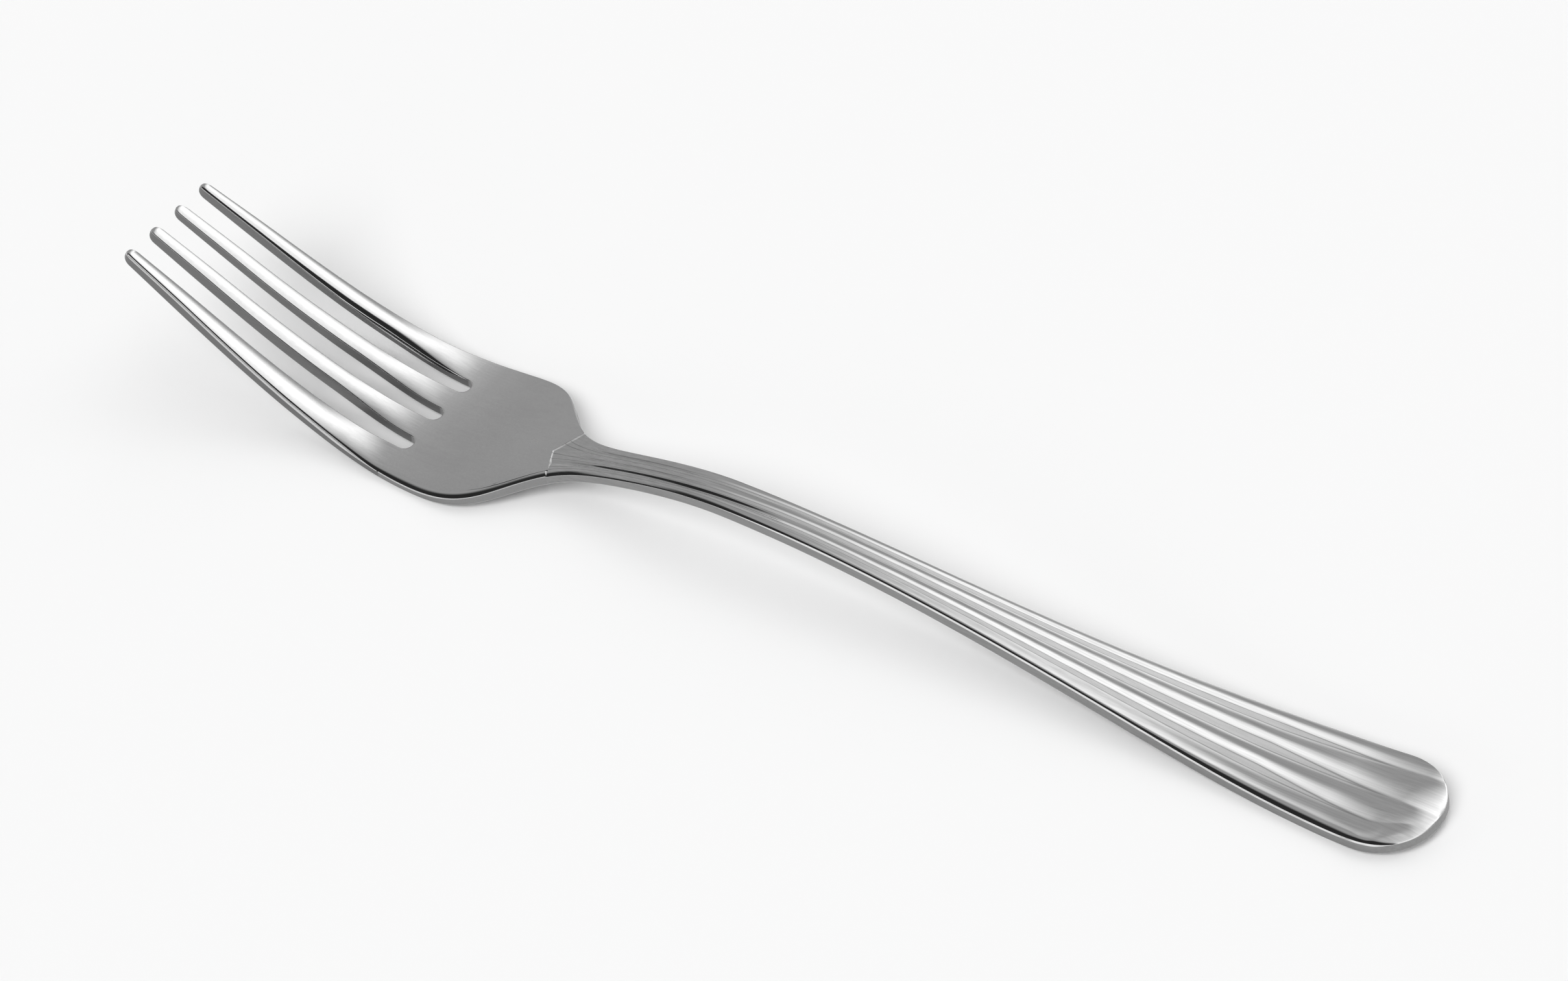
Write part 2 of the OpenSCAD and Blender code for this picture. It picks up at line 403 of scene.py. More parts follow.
# %% Cut the handle
end_gap = 0.045 * mm
seam_zone = 1.2 * mm
cap_rows = cap_len * (1 - np.cos(np.linspace(0, np.pi / 2, 56)))
shaft_rows = np.linspace(cap_len, seam_x - seam_zone, 230)[1:]
seam_rows = seam_x - seam_zone * (1 - np.linspace(0, 1, 22)[1:] ** 0.5)
handle_rows = np.concatenate([cap_rows, shaft_rows, seam_rows])
inner_cols = np.linspace(0, 1, 97)

n = roll_points
across = np.concatenate([-np.ones(n), 2 * inner_cols - 1, np.ones(n)])
station = handle_rows[:, None] + 0 * across
near_seam = past(station, arch_x, seam_x - arch_x)
chevron = seam_reach(across) * near_seam

row = handle_rows[:, None]
inset = np.zeros(station.shape)
inset[:, 1:n + 1] = bevel_width(row, -1) + rim_radius(row, -1) * roll_steps(rim_limit(row, -1))
left_steps = roll_steps(rim_limit(row, 1))[:, ::-1]
inset[:, -n - 1:-1] = bevel_width(row, 1) + rim_radius(row, 1) * left_steps
inset[:, n:-n] = mix(inset[:, n:n + 1], inset[:, -n - 1:-n], inner_cols)

x, y = edge_points(station + chevron, across, inset, mix(1, across**4, near_seam))
x = x + end_gap * np.maximum(0, 1 - x / cap_len)
roll = rim_drop(station, across, inset)
roll[:, n + 1:-n - 1] = 0
handle = solid(
    "handle",
    np.stack([x, y, wall(x) + dome(x, y) - roll - end_drop(x, y)], -1),
    np.stack([x, y, rounding(inset, under_r)], -1),
    {
        "pressed": (np.ones(x.shape), np.zeros(x.shape)),
        "share": (y / body_width(x),) * 2,
        "reach": (body_width(x),) * 2,
        "to_seam": (seam_x - station,) * 2,
        **common_marks(x, roll),
    },
    creases=(-2,),
)

# %% [markdown]
# ## The head and tine blanks
#
# Across the head, columns alternate between the four lands that become tines and the three round
# slot ends between them. The columns keep their order from the chevron to the slot ends, so no two
# of them cross. Each tine takes over the columns of its land.

# %% Columns across the lands and slots
land_shares = np.linspace(0, 1, 15)[1:-1]
slot_turns = np.linspace(-np.pi / 2, np.pi / 2, 25)[1:-1]
land_trims = [v * mm for v in (0.45, 0.6, 0.5, 0.08)]
worn_r = 0.8 * mm
root_bevel = 0.15 * mm
tip_bevel = 0.1 * mm
inner_bevel = 0.12 * mm
side_slope = math.tan(math.radians(65))


def along(x):
    return (x - root_x) / (length - root_x)


def slimmer(x):
    """Share of trim and draft along a tine: none at the head, most near it, little at the tip."""
    return ease(3 * along(x)) * (1 - 0.7 * along(x))


def land_edges(k, x):
    """The right and the left edge of land k, which counts from the right of the fork's user."""
    pitch = mix(root_pitch, tip_pitch, along(x))
    gap = mix(slot_root_w, slot_tip_w, along(x) ** 2) / 2
    low = -half_width(x) if k == 0 else (k - 2) * pitch + gap
    high = half_width(x) if k == 3 else (k - 1) * pitch - gap
    high = high - land_trims[k] * slimmer(x)
    return low, high


def land_radii(k, x):
    """Edge radii of land k: the inner edge of the first tine is worn rounder than the rest."""
    worn = mix(slot_r, worn_r, ease(3.5 * along(x)) * (1 - 0.7 * ease(2 * along(x) - 0.8)))
    inner = worn if k == 0 else slot_r + 0 * x
    low_r = rim_radius(x, -1) if k == 0 else inner
    high_r = rim_radius(x, 1) if k == 3 else inner
    return low_r, high_r


def land_bevel(k, x):
    """Width of the bevel on the left edge of land k, on the two outer tines only."""
    outer = mix(root_bevel, tip_bevel, along(x)) * ease(5 * along(x))
    inner = inner_bevel * ease(12 * along(x)) * (1 - ease(5 * along(x) - 1.5))
    return outer if k == 3 else inner if k == 0 else 0 * x


def land_places(k, x):
    """Places across land k and the drop of its rolled edges there."""
    low, high = land_edges(k, x)
    low_r, high_r = land_radii(k, x)
    inner = high - land_bevel(k, x)
    first = low + low_r * roll_steps(plain_limit)
    last = inner - high_r * roll_steps(plain_limit)[::-1]
    flat = mix(first[..., -1:], last[..., :1], land_shares)
    y = np.concatenate([first, flat, last, high + 0 * x], -1)
    roll = np.maximum(rounding(y - low, low_r), rounding(np.maximum(inner - y, 0), high_r))
    return y, roll + np.maximum(y - inner, 0) * side_slope


tine_widths = [(high - low) / mm for low, high in (land_edges(k, root_x) for k in range(4))]
print("tine widths in mm at the head:", [round(float(v), 2) for v in tine_widths])

# %% The line of slot ends
goal_x, goal_y = [], []
for k in range(4):
    places, _ = land_places(k, np.array([root_x]))
    goal_x.append(root_x + 0 * places)
    goal_y.append(places)
    if k < 3:
        goal_x.append(root_x - slot_root_w / 2 * np.cos(slot_turns))
        goal_y.append((k - 1) * root_pitch + slot_root_w / 2 * np.sin(slot_turns))
goal_x, goal_y = np.concatenate(goal_x), np.concatenate(goal_y)
head_cols = len(goal_x)


def from_slots(x, y):
    """Distance from the nearest slot end."""
    middles = [np.hypot(x - root_x, y - k * root_pitch) for k in (-1, 0, 1)]
    return np.maximum(0, np.min(middles, axis=0) - slot_root_w / 2)


print("columns across the head:", head_cols)

# %% Cut the head
reach_back = goal_x.min() - seam_x - seam_point
slot_zone = 1.2 * mm
steps = roll_steps(plain_limit)
fine = np.concatenate([slot_r * steps, np.linspace(slot_r, slot_zone, 9)[1:]])
coarse = np.linspace(slot_zone, reach_back, 60)[1:]
span = 1 - np.concatenate([fine, coarse])[::-1, None] / reach_back

start = np.concatenate([-np.ones(n - 1), np.linspace(-1, 1, head_cols - 2 * n + 1), np.ones(n)])
on_rim = np.abs(start) == 1
rim_steps = np.full(head_cols, steps[-1])
rim_steps[:n] = steps
rim_steps[-n - 1:-1] = steps[::-1]
rim_steps[-1] = 0

x = mix(seam_x + seam_reach(start), goal_x, span)
inset = rim_radius(x, start) * rim_steps
goal_share = goal_y / (half_width(goal_x) - rim_radius(goal_x, start) * steps[-1])
side = np.where(on_rim, np.sign(start), mix(start, goal_share, ease(span)))
x, y = edge_points(x, side, inset, on_rim)
x[-1], y[-1] = goal_x, goal_y
to_slots = from_slots(x, y)
roll = np.maximum(rounding(inset, rim_radius(x, start)) * on_rim, rounding(to_slots, slot_r))
low_roll = np.maximum(rounding(inset, under_r) * on_rim, rounding(to_slots, under_r))
head = solid(
    "head",
    np.stack([x, y, wall(x) + dome(x, y) - roll], -1),
    np.stack([x, y, hollow(x, y) + low_roll], -1),
    common_marks(x, roll),
)

# %% [markdown]
# ## The tines
#
# A tine keeps the flat side walls that the punch left, a little narrower above than below. Its top
# is crowned, so that a soft light fades across it. The outer tines are rounder than the inner ones,
# because a buffing wheel reaches them better, and the crest of the last one lies near its outer
# edge. No two tines are quite alike: grinding trims the left side of each by its own amount, and
# leaves the two in the middle a little thinner towards their tips. Each tine is cut in rows over the
# columns of the head, so the two meet exactly.

# %% Cut the four tines
tine_tilts = [math.tan(math.radians(v)) for v in (18, 11, 11, 14)]
tine_crests = (0, 0, 0, 0.35)
tine_drafts = [v * mm for v in (0.2, 0.2, 0.4, 0.2)]
tine_lowered = [v * mm for v in (0, 0.3, 0.1, 0)]
tine_lift = 0.5
tip_round = 1.0 * mm
tip_power = 2.4
tip_lowered = 0.2 * mm
tip_x = length - end_gap
tine_rows = np.concatenate([
    np.linspace(root_x, tip_x - tip_round, 90),
    tip_x - tip_round * (1 - np.sin(np.linspace(0, np.pi / 2, 15)[1:])),
])


def cut_tine(k):
    x = tine_rows[:, None]
    y, roll = land_places(k, x)
    low, high = land_edges(k, x)
    middle, half = (low + high) / 2, (high - low) / 2
    crown = half * tine_tilts[k] / 2 * ease(along(x) * 6)
    crown = crown * (0.5 - ((y - middle) / half - tine_crests[k]) ** 2)
    lowered = tip_lowered * ease(along(x) * 4 - 3) + tine_lowered[k] * ease(2.5 * along(x) - 0.75)
    top = wall(x) + dome(x, y) + crown - roll - lowered
    lifted = mix(hollow(x, y), tine_lift * dome(x, middle), ease(3 * along(x)))
    under = lifted + np.maximum(rounding(y - low, under_r), rounding(high - y, under_r))
    top_y = y - tine_drafts[k] * slimmer(x) * (y - low) / (high - low)
    to_tip = np.clip(1 - (tip_x - x) / tip_round, 0, 1)
    taper = np.maximum(0.01, 1 - to_tip**tip_power) ** (1 / tip_power)
    top_y, y = mix(middle, top_y, taper), mix(middle, y, taper)
    top, under = mix(wall(x) / 2, top, taper), mix(wall(x) / 2, under, taper)
    flat_x = x + 0 * y
    return solid(
        f"tine_{k + 1}",
        np.stack([flat_x, top_y, top], -1),
        np.stack([flat_x, y, under], -1),
        common_marks(flat_x, roll),
    )


tines = [cut_tine(k) for k in range(4)]

# %% [markdown]
# ## Formulas as nodes
#
# Geometry Nodes can hold a rule as a tree that stays adjustable through named inputs. Writing long
# formulas node by node is tiring, so a small class turns arithmetic into Math nodes.


# %% Arithmetic that adds Math nodes
class Rule:
    """A value in a node tree. Arithmetic on it adds Math nodes to that tree."""

    def __init__(self, socket):
        self.socket = socket

    def __add__(self, other):
        return math_node("ADD", self, other)

    def __radd__(self, other):
        return math_node("ADD", other, self)

    def __sub__(self, other):
        return math_node("SUBTRACT", self, other)

    def __rsub__(self, other):
        return math_node("SUBTRACT", other, self)

    def __mul__(self, other):
        return math_node("MULTIPLY", self, other)

    def __rmul__(self, other):
        return math_node("MULTIPLY", other, self)

    def __truediv__(self, other):
        return math_node("DIVIDE", self, other)


def plug(tree, value, socket):
    if isinstance(value, Rule):
        tree.links.new(value.socket, socket)
    else:
        socket.default_value = value


def math_node(operation, *values):
    tree = next(v.socket.id_data for v in values if isinstance(v, Rule))
    node = tree.nodes.new("ShaderNodeMath")
    node.operation = operation
    for value, socket in zip(values, node.inputs):
        plug(tree, value, socket)
    return Rule(node.outputs[0])


def ease_node(t):
    tree = t.socket.id_data
    node = tree.nodes.new("ShaderNodeMapRange")
    node.interpolation_type = "SMOOTHSTEP"
    tree.links.new(t.socket, node.inputs["Value"])
    return Rule(node.outputs["Result"])


# %% Start, place and finish a tree
def start_tree(name, sizes):
    """A Geometry Nodes tree with one named input for each size."""
    tree = bpy.data.node_groups.new(name, "GeometryNodeTree")
    tree.is_modifier = True
    tree.interface.new_socket("Geometry", in_out="OUTPUT", socket_type="NodeSocketGeometry")
    tree.interface.new_socket("Geometry", in_out="INPUT", socket_type="NodeSocketGeometry")
    tree.interface.new_socket("Steel", in_out="INPUT", socket_type="NodeSocketMaterial")
    for label in sizes:
        tree.interface.new_socket(label, in_out="INPUT", socket_type="NodeSocketFloat")
    given = tree.nodes.new("NodeGroupInput")
    place = tree.nodes.new("GeometryNodeInputPosition")
    parts = tree.nodes.new("ShaderNodeSeparateXYZ")
    tree.links.new(place.outputs[0], parts.inputs[0])
    size = {label: Rule(given.outputs[label]) for label in sizes}
    return tree, size, [Rule(s) for s in parts.outputs]


def read_mark(tree, name):
    node = tree.nodes.new("GeometryNodeInputNamedAttribute")
    node.data_type = "FLOAT"
    node.inputs["Name"].default_value = name
    return Rule(node.outputs["Attribute"])


def store_mark(tree, geometry, name, value):
    node = tree.nodes.new("GeometryNodeStoreNamedAttribute")
    node.data_type = "FLOAT"
    node.domain = "POINT"
    node.inputs["Name"].default_value = name
    tree.links.new(geometry, node.inputs["Geometry"])
    plug(tree, value, node.inputs["Value"])
    return node.outputs["Geometry"]


def finish_tree(tree, x, y, z, marks=None):
    """Keeps marks, moves every point to x, y, z, realizes the result and gives it its steel."""
    given = next(n for n in tree.nodes if n.type == "GROUP_INPUT")
    place = tree.nodes.new("ShaderNodeCombineXYZ")
    move = tree.nodes.new("GeometryNodeSetPosition")
    whole = tree.nodes.new("GeometryNodeRealizeInstances")
    paint = tree.nodes.new("GeometryNodeSetMaterial")
    out = tree.nodes.new("NodeGroupOutput")
    for value, socket in zip((x, y, z), place.inputs):
        plug(tree, value, socket)
    geometry = given.outputs["Geometry"]
    for name, value in (marks or {}).items():
        geometry = store_mark(tree, geometry, name, value)
    tree.links.new(geometry, move.inputs["Geometry"])
    tree.links.new(place.outputs[0], move.inputs["Position"])
    tree.links.new(move.outputs[0], whole.inputs[0])
    tree.links.new(whole.outputs[0], paint.inputs["Geometry"])
    tree.links.new(given.outputs["Steel"], paint.inputs["Material"])
    tree.links.new(paint.outputs[0], out.inputs[0])
    print(tree.name, "tree:", len(tree.nodes), "nodes")


def add_tree(piece, tree, sizes, material):
    """Puts the tree on a piece, with its inputs set by identifier."""
    modifier = piece.modifiers.new(tree.name, "NODES")
    modifier.node_group = tree
    for item in tree.interface.items_tree:
        if item.in_out == "INPUT" and item.name in sizes:
            modifier[item.identifier] = float(sizes[item.name])
        elif item.in_out == "INPUT" and item.name == "Steel":
            modifier[item.identifier] = material


# %% [markdown]
# ## Pressing the flutes
#
# The handle carries a middle rib and two side ribs with hollow flutes between them. The ribs fan
# out with the width of the handle, their flat tops narrow to points near the end, and at the neck
# everything stops at a chevron-shaped step. The die sits slightly off the middle, so the flats lie a
# little to the right, and the left rib bends round the corner of the end and fades out. That is one
# rule over the whole top, so it is a tree with named inputs.

# %% The flute rule
flute_sizes = {
    "Side rib": 0.58,
    "End depth": 0.035,
    "Flute depth": 0.044,
    "Neck depth": 0.2,
    "Rib flat": 0.2,
    "Sharp at": 3 * mm,
    "Flat from": 18 * mm,
    "Rib shift": 0.085,
    "Neck shift": -0.16,
    "Seam step": 0.065 * mm,
    "Seam ramp": 0.2 * mm,
}
ridge_soft = 0.1
flutes, size, (x, y, z) = start_tree("press flutes", flute_sizes)
share, reach = read_mark(flutes, "share"), read_mark(flutes, "reach")
to_seam, pressed = read_mark(flutes, "to_seam"), read_mark(flutes, "pressed")

narrowing = (x - size["Sharp at"]) / (size["Flat from"] - size["Sharp at"])
narrowing = math_node("MINIMUM", math_node("MAXIMUM", narrowing, 0.0), 1.0)
neck_in = ease_node((x - 68 * mm) / (16 * mm))
rib_flat = size["Rib flat"] * narrowing


def clear_of_flats(t):
    """Place between two flats: 0 and 1 at their borders, below 0 on the first one."""
    return (t - rib_flat) / (1 - 2 * rib_flat)


def scallop(clear):
    """A hollow between two flats: an arc between sharp ridges, a wave between flat ribs."""
    clear = math_node("MINIMUM", math_node("MAXIMUM", clear, 0.0), 1.0)
    arc = 4 * clear * (1 - clear)
    arc = math_node("SQRT", arc * arc + ridge_soft**2) - ridge_soft
    wave = 0.5 - 0.5 * math_node("COSINE", 2 * math.pi * clear)
    return arc + (wave - arc) * narrowing


# %% Place across the flutes
corner_pull, corner_x, corner_zone = 0.42, 5.5 * mm, 4 * mm
shift = (size["Rib shift"] + (size["Neck shift"] - size["Rib shift"]) * neck_in) * narrowing
left_half = math_node("GREATER_THAN", share, 0.0)
round_corner = 1 - corner_pull * left_half * ease_node((corner_x - x) / corner_zone)
side = share / round_corner + shift * (1 - share * share * share * share)
on_left = math_node("GREATER_THAN", side, 0.0)
aside = math_node("ABSOLUTE", side)
inner_w = size["Side rib"] + size["Rib shift"] * (1 - narrowing) * (1 - on_left)
outer_w = 1 - inner_w
is_outer = math_node("GREATER_THAN", aside, inner_w)
inner = clear_of_flats(aside / inner_w)
outer = ((aside - inner_w) / outer_w - rib_flat) / (1 - rib_flat)
hollow_in, hollow_out = scallop(inner), scallop(outer)
profile = hollow_in + (hollow_out - hollow_in) * is_outer


# %% Depth of the flutes
def by_side(right, left):
    return right + (left - right) * on_left


left_end_x, left_end_zone = 4 * mm, 3 * mm
near_end = 1 - ease_node((x - 2 * mm) / (10 * mm))
on_shaft = ease_node((x - 18 * mm) / (18 * mm))
outer_share = by_side(1.3, 0.8 - 0.55 * on_shaft) + by_side(-0.3, 0.8) * near_end
width = inner_w + (outer_share * outer_w - inner_w) * is_outer
depth_share = size["End depth"] + (size["Flute depth"] - size["End depth"]) * narrowing
depth_share = depth_share + (size["Neck depth"] - depth_share) * neck_in * on_left * (1 - is_outer)
depth_share = depth_share * (1 - on_left * ease_node((left_end_x - x) / left_end_zone))
depth = depth_share * reach * width * profile

# %% Where the flutes run out
least, fade_zone, sunk_zone = 0.2, 7 * mm, 25 * mm
fade = least + (1 - least) * ease_node(to_seam / fade_zone)
sunk = size["Seam step"] * ease_node(1 - to_seam / sunk_zone)
ramp = ease_node(to_seam / size["Seam ramp"])
on_rib = math_node("MINIMUM", inner, 1 - inner)
on_rib = on_rib + (outer - on_rib) * is_outer
in_flute = pressed * ease_node(on_rib / 0.15) * ease_node((to_seam - 1 * mm) / (5 * mm))
marks = {"on_rib": pressed * on_rib, "in_flute": in_flute}
finish_tree(flutes, x, y, z - pressed * ramp * (sunk + depth * fade), marks)

# %% [markdown]
# ## Bending the blank
#
# From the side, the fork lifts a little at the end of the handle, rests, arches over the neck,
# dips to the head and sweeps up along the tines. Every piece takes the same tree, so pieces that
# meet in the flat blank still meet after bending.

# %% The bend rule
bend_sizes = {
    "Length": length,
    "Rest distance": 10.8 * mm,
    "Rest flat": rest_flat,
    "Tail lift": 0.9 * mm,
    "Arch height": 5.7 * mm,
    "Arch distance": arch_x,
    "Dip distance": dip_x,
    "Tip rise": 13.6 * mm,
    "Tip slope": math.tan(math.radians(28)),
}
bend, size, (x, y, z) = start_tree("bend", bend_sizes)


def underside(x):
    """Height of the bent underside at a distance from the handle end."""
    rest_in = size["Rest distance"] - size["Rest flat"] / 2
    rest_out = size["Rest distance"] + size["Rest flat"] / 2
    dip_in = size["Dip distance"] - size["Rest flat"] / 2
    dip_out = size["Dip distance"] + size["Rest flat"] / 2
    before = math_node("MAXIMUM", 1 - x / rest_in, 0.0)
    rise = ease_node((x - rest_out) / (size["Arch distance"] - rest_out))
    fall = ease_node((dip_in - x) / (dip_in - size["Arch distance"]))
    sweep_len = size["Length"] - dip_out
    s = math_node("MAXIMUM", (x - dip_out) / sweep_len, 0.0)
    sweep = size["Tip rise"] * s * s * (3 - 2 * s) + size["Tip slope"] * sweep_len * s * s * (s - 1)
    tail = size["Tail lift"] * before * before
    arch = size["Arch height"] * math_node("MINIMUM", rise, fall)
    return tail + arch + sweep


probe = 0.05 * mm
lean = math_node("ARCTANGENT", (underside(x + probe) - underside(x - probe)) / (2 * probe))
half_wall = read_mark(bend, "half_wall")
over = z - half_wall
finish_tree(
    bend,
    x - over * math_node("SINE", lean) - size["Length"] / 2,
    y,
    underside(x) + half_wall + over * math_node("COSINE", lean),
)

# %% [markdown]
# ## Steel
#
# Stainless steel is a metal with an almost neutral colour, so its look is nearly all reflection.
# What tells a real fork from a mirror is how it was finished: buffing leaves hairlines along the
# length, the head and the rib tops keep a fine satin grain, and the ground side walls are duller.
# Two darker tones are painted shade: a dark line just inside the border of each rib flat, standing
# in for the dark near side that the rib edges mirror, and a darker colour on the side walls, on top
# of their duller finish. These marks appear in all the steels here, so they are one shader group
# with its own inputs.


# %% Group for buffing marks and painted shade
def noise(tree, place, stretch, detail):
    """Soft noise between 0 and 1, with its own number of spots per metre along each axis."""
    scaled = tree.nodes.new("ShaderNodeMapping")
    scaled.inputs["Scale"].default_value = stretch
    spots = tree.nodes.new("ShaderNodeTexNoise")
    spots.inputs["Scale"].default_value = 1
    spots.inputs["Detail"].default_value = detail
    tree.links.new(place, scaled.inputs["Vector"])
    tree.links.new(scaled.outputs[0], spots.inputs["Vector"])
    return Rule(spots.outputs[0])


def surface_mark(tree, name):
    node = tree.nodes.new("ShaderNodeAttribute")
    node.attribute_name = name
    return Rule(node.outputs["Fac"])


# The group makes real buffing marks and also paints shade: a dark line along the rib flats and darker
# side walls.
marks_and_shade = bpy.data.node_groups.new("steel marks and painted shade", "ShaderNodeTree")
amounts = ("Buffed Roughness", "Satin Roughness", "Hairlines", "Grain")
for label in amounts:
    marks_and_shade.interface.new_socket(label, in_out="INPUT", socket_type="NodeSocketFloat")
for label in ("Buffed Color", "Satin Color", "Ground And Shade Color"):
    marks_and_shade.interface.new_socket(label, in_out="INPUT", socket_type="NodeSocketColor")
marks_and_shade.interface.new_socket("Color", in_out="OUTPUT", socket_type="NodeSocketColor")
for label in ("Roughness", "Height"):
    marks_and_shade.interface.new_socket(label, in_out="OUTPUT", socket_type="NodeSocketFloat")

given = marks_and_shade.nodes.new("NodeGroupInput")
value = {label: Rule(given.outputs[label]) for label in amounts}
place = marks_and_shade.nodes.new("ShaderNodeTexCoord").outputs["Object"]
hairs = noise(marks_and_shade, place, (50, 4500, 4500), 2) - 0.5
grain = noise(marks_and_shade, place, (5200, 5200, 5200), 1) - 0.5
smudge = noise(marks_and_shade, place, (110, 240, 240), 2) - 0.5
on_rib = surface_mark(marks_and_shade, "on_rib")
flat_border, line_place = 0.04, 0.06
flat_top = ease_node((-flat_border - on_rib) / flat_border)
# A painted dark line just inside the border of each flat: painted shade standing in for the dark near
# side that the rib edges mirror.
painted_dark_line = ease_node(1 - math_node("ABSOLUTE", on_rib + line_place) / line_place)
satin, ground = surface_mark(marks_and_shade, "satin"), surface_mark(marks_and_shade, "ground")
satin = math_node("MAXIMUM", satin * (1 - surface_mark(marks_and_shade, "in_flute")), flat_top)
dull = math_node("MAXIMUM", satin, ground)

# %% What the group puts out
out = marks_and_shade.nodes.new("NodeGroupOutput")
gloss = value["Buffed Roughness"] + (value["Satin Roughness"] - value["Buffed Roughness"]) * dull
plug(marks_and_shade, gloss + 0.05 * smudge + 0.08 * value["Hairlines"] * hairs, out.inputs["Roughness"])
plug(marks_and_shade, value["Hairlines"] * hairs + 0.2 * value["Grain"] * grain * dull, out.inputs["Height"])


def tinted(share, first, second):
    """One colour laid over another by a share."""
    node = marks_and_shade.nodes.new("ShaderNodeMix")
    node.data_type = "RGBA"
    marks_and_shade.links.new(share.socket, node.inputs[0])
    marks_and_shade.links.new(first, node.inputs[6])
    marks_and_shade.links.new(second, node.inputs[7])
    return node.outputs[2]


tint = tinted(satin, given.outputs["Buffed Color"], given.outputs["Satin Color"])
# Side walls take the ground colour: partly their duller finish, partly painted shade.
tint = tinted(ground, tint, given.outputs["Ground And Shade Color"])
# The colour is scaled by smudges, hairlines and grain, and darkened along the rib flats by the
# painted dark line.
worn = marks_and_shade.nodes.new("ShaderNodeVectorMath")
worn.operation = "SCALE"
marks_and_shade.links.new(tint, worn.inputs[0])
streaks = 0.4 * value["Hairlines"] * hairs + 0.12 * value["Grain"] * grain * dull
plug(marks_and_shade, 1 + 0.12 * smudge + streaks - 0.45 * painted_dark_line, worn.inputs["Scale"])
marks_and_shade.links.new(worn.outputs[0], out.inputs["Color"])
print("steel marks and painted shade:", len(marks_and_shade.nodes), "nodes")


# %% Three steels from one group
scratch_depth = 0.002 * mm


def steel(name, values):
    made = bpy.data.materials.new(name)
    made.use_nodes = True
    tree = made.node_tree
    shader = tree.nodes["Principled BSDF"]
    shader.inputs["Metallic"].default_value = 1
    marks = tree.nodes.new("ShaderNodeGroup")
    marks.node_tree = marks_and_shade
    for label, number in values.items():
        marks.inputs[label].default_value = number
    relief = tree.nodes.new("ShaderNodeBump")
    relief.inputs["Distance"].default_value = scratch_depth
    tree.links.new(marks.outputs["Color"], shader.inputs["Base Color"])
    tree.links.new(marks.outputs["Roughness"], shader.inputs["Roughness"])
    tree.links.new(marks.outputs["Height"], relief.inputs["Height"])
    tree.links.new(relief.outputs["Normal"], shader.inputs["Normal"])
    return made


def tone(share):
    return share, share, share, 1


# The ground colours are set dark partly as painted shade. They are darkest on the tines, whose walls
# stand in the shade of the slots.
fluted_steel = steel("fluted_steel", {
    "Buffed Roughness": 0.09, "Satin Roughness": 0.38, "Hairlines": 1.0, "Grain": 0.5,
    "Buffed Color": tone(0.62), "Satin Color": tone(0.56), "Ground And Shade Color": tone(0.3)})
head_steel = steel("head_steel", {
    "Buffed Roughness": 0.1, "Satin Roughness": 0.26, "Hairlines": 0.15, "Grain": 1.0,
    "Buffed Color": tone(0.62), "Satin Color": tone(0.6), "Ground And Shade Color": tone(0.28)})
tine_steel = steel("tine_steel", {
    "Buffed Roughness": 0.1, "Satin Roughness": 0.26, "Hairlines": 0.5, "Grain": 0.5,
    "Buffed Color": tone(0.62), "Satin Color": tone(0.6), "Ground And Shade Color": tone(0.18)})
print("steels:", fluted_steel.name, head_steel.name, tine_steel.name)

# %% [markdown]
# ## Form the pieces
#
# Only the handle is pressed; every piece is bent. The evaluated result is turned into a plain mesh
# and the tree is taken off again, because a moving part has to carry its own shape. The fork has
# no moving parts, so all the pieces ride on one body.


# %% Press, bend and ride
def form(piece, material, *trees):
    node = piece.name.split(".")[0]
    for tree, sizes in trees:
        add_tree(piece, tree, sizes, material)
    shaped = piece.evaluated_get(bpy.context.evaluated_depsgraph_get())
    piece_mesh = bpy.data.meshes.new_from_object(shaped)
    piece.modifiers.clear()
    piece.data = piece_mesh
    piece.name = node + "_finished"
    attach(piece, "root")
    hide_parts(node)


form(handle, fluted_steel, (flutes, flute_sizes), (bend, bend_sizes))
form(head, head_steel, (bend, bend_sizes))
for tine in tines:
    form(tine, tine_steel, (bend, bend_sizes))
print("formed:", [(o.name, len(o.data.polygons)) for o in (handle, head, *tines)])

# %% [markdown]
# ## Stage and light
#
# Polished metal shows its surroundings, so the studio is designed by what the fork should mirror:
# one large soft light overhead on the far side, which the tines and the handle catch, a grey wall
# beyond the tips that the flat head mirrors, and a dark near side that draws the edges. A low strip
# on the near side and a pale horizon brighten what faces sideways. The world holds these as soft
# steps over the direction. A broad sun, hidden from reflections, lights the paper.

# %% Floor
floor_mesh = bpy.data.meshes.new("floor")
sheet = 3.0
corners = [(-sheet, -sheet, 0), (sheet, -sheet, 0), (sheet, sheet, 0), (-sheet, sheet, 0)]
floor_mesh.from_pydata(corners, [], [(0, 1, 2, 3)])
floor = bpy.data.objects.new("floor", floor_mesh)
bpy.context.scene.collection.objects.link(floor)
paper = bpy.data.materials.new("paper")
paper.use_nodes = True
coat = paper.node_tree.nodes["Principled BSDF"]
coat.inputs["Base Color"].default_value = tone(0.93)
coat.inputs["Roughness"].default_value = 0.9
coat.inputs["Specular IOR Level"].default_value = 0.1
floor_mesh.materials.append(paper)
print("floor in m:", 2 * sheet)

# %% Light that the fork mirrors
world = bpy.data.worlds.new("studio")
bpy.context.scene.world = world
world.use_nodes = True
sky = world.node_tree
looking = sky.nodes.new("ShaderNodeTexCoord")
parts = sky.nodes.new("ShaderNodeSeparateXYZ")
sky.links.new(looking.outputs["Generated"], parts.inputs[0])
dx, dy, dz = (Rule(s) for s in parts.outputs)
print("world:", world.name)

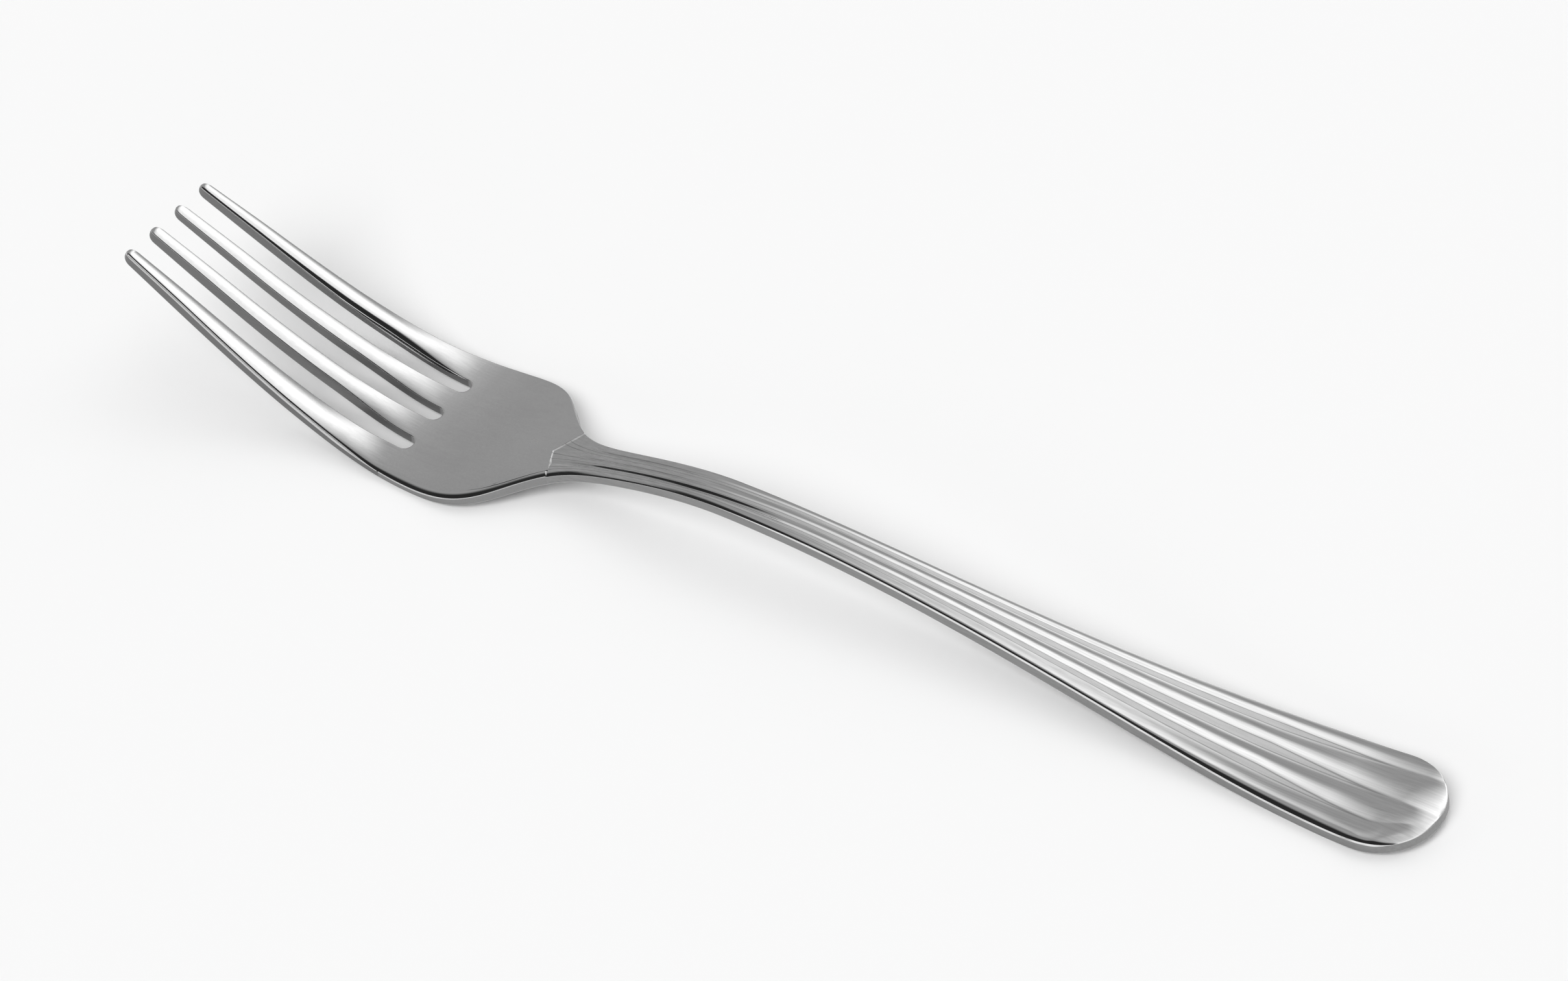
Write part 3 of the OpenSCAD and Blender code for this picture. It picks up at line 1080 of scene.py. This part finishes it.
# %% Zones of the studio
# Each zone is a product of soft steps over the direction: 1 inside it, 0 outside.
dark, low, grey, soft, strip, band = 0.03, 0.2, 0.44, 1.85, 1.3, 0.9
near_edge = ease_node((0.1 - dy - 1.2 * dx) / 0.2)
right_edge = ease_node((0.24 - dx - 0.5 * dy) / 0.5)
far_edge = ease_node((dy + 0.89 + 0.9 * math_node("MAXIMUM", dx - 0.12, 0.0)) / 0.26)
left_edge = ease_node((dx + 0.62) / 0.25)
in_soft = near_edge * right_edge * far_edge * left_edge
in_low = ease_node((0.3 - dz) / 0.1) * ease_node((-0.5 - dy) / 0.3)
in_strip = ease_node((dy - 0.5) / 0.2) * ease_node((dz - 0.1) / 0.05) * ease_node((0.34 - dz) / 0.06)
in_band = ease_node((0.1 - dz) / 0.05)
near_side = ease_node((dy + 0.05) / 0.4) * ease_node((0.8 - dx) / 0.15)
past_tips = ease_node((dy - 0.4) / 0.1) * ease_node((0.95 - dx) / 0.1)
in_dark = math_node("MAXIMUM", near_side, past_tips) * ease_node((dx + 0.5) / 0.2)
print("strengths of the soft light, the wall and the dark side:", soft, grey, dark)

# %% Mix the zones of the studio
light = grey + (dark - grey) * in_dark
toned = soft * (1 - 0.3 * ease_node((dy + 0.6) / 0.35))
light = light + (toned - light) * in_soft
light = light + (low - light) * in_low
light = light + (strip - light) * in_strip
light = light + (band - light) * in_band
glow = sky.nodes["Background"]
glow.inputs["Color"].default_value = tone(1)
plug(sky, light, glow.inputs["Strength"])
print("studio:", len(sky.nodes), "nodes")

# %% Light on the paper
lamp = bpy.data.lights.new("fill", "SUN")
lamp.energy = 1.8
lamp.angle = math.radians(40)
fill = bpy.data.objects.new("fill", lamp)
fill.rotation_euler = (math.radians(-40), 0, 0)
fill.visible_glossy = False
bpy.context.scene.collection.objects.link(fill)
print("fill:", lamp.energy, "W per square metre")

# %% [markdown]
# ## Camera
#
# The fork is seen from above the left of its handle through a long lens. Turn, tilt and distance
# were fitted until the outline of the solids lay on the outline in the photograph, because only the
# same view lets a reflection be compared line by line.

# %% Camera
photo_w = 2417
focal_px = 7216
azimuth, elevation, roll = (math.radians(v) for v in (220.477, 42.773, -8.361))
camera_shift = Vector((-1.722, 6.584, 460.418)) * mm

back = Vector((math.sin(azimuth) * math.cos(elevation),
               -math.cos(azimuth) * math.cos(elevation),
               math.sin(elevation)))
level = (-back).cross(Vector((0, 0, 1))).normalized()
upright = level.cross(-back)
right = math.cos(roll) * level + math.sin(roll) * upright
up = -math.sin(roll) * level + math.cos(roll) * upright
turn = Matrix((right, up, back)).transposed()
place = -(camera_shift.x * right - camera_shift.y * up - camera_shift.z * back)

lens = bpy.data.cameras.new("camera")
lens.sensor_width = 36
lens.lens = focal_px / photo_w * lens.sensor_width
camera = bpy.data.objects.new("camera", lens)
camera.matrix_world = Matrix.Translation(place) @ turn.to_4x4()
bpy.context.scene.collection.objects.link(camera)
bpy.context.scene.camera = camera
print("camera at, in mm:", [round(v / mm, 1) for v in place])

# %% [markdown]
# ## Finish
#
# The plain view transform shows a grey about as it is written.

# %% Finish
bpy.context.scene.view_settings.view_transform = "Standard"
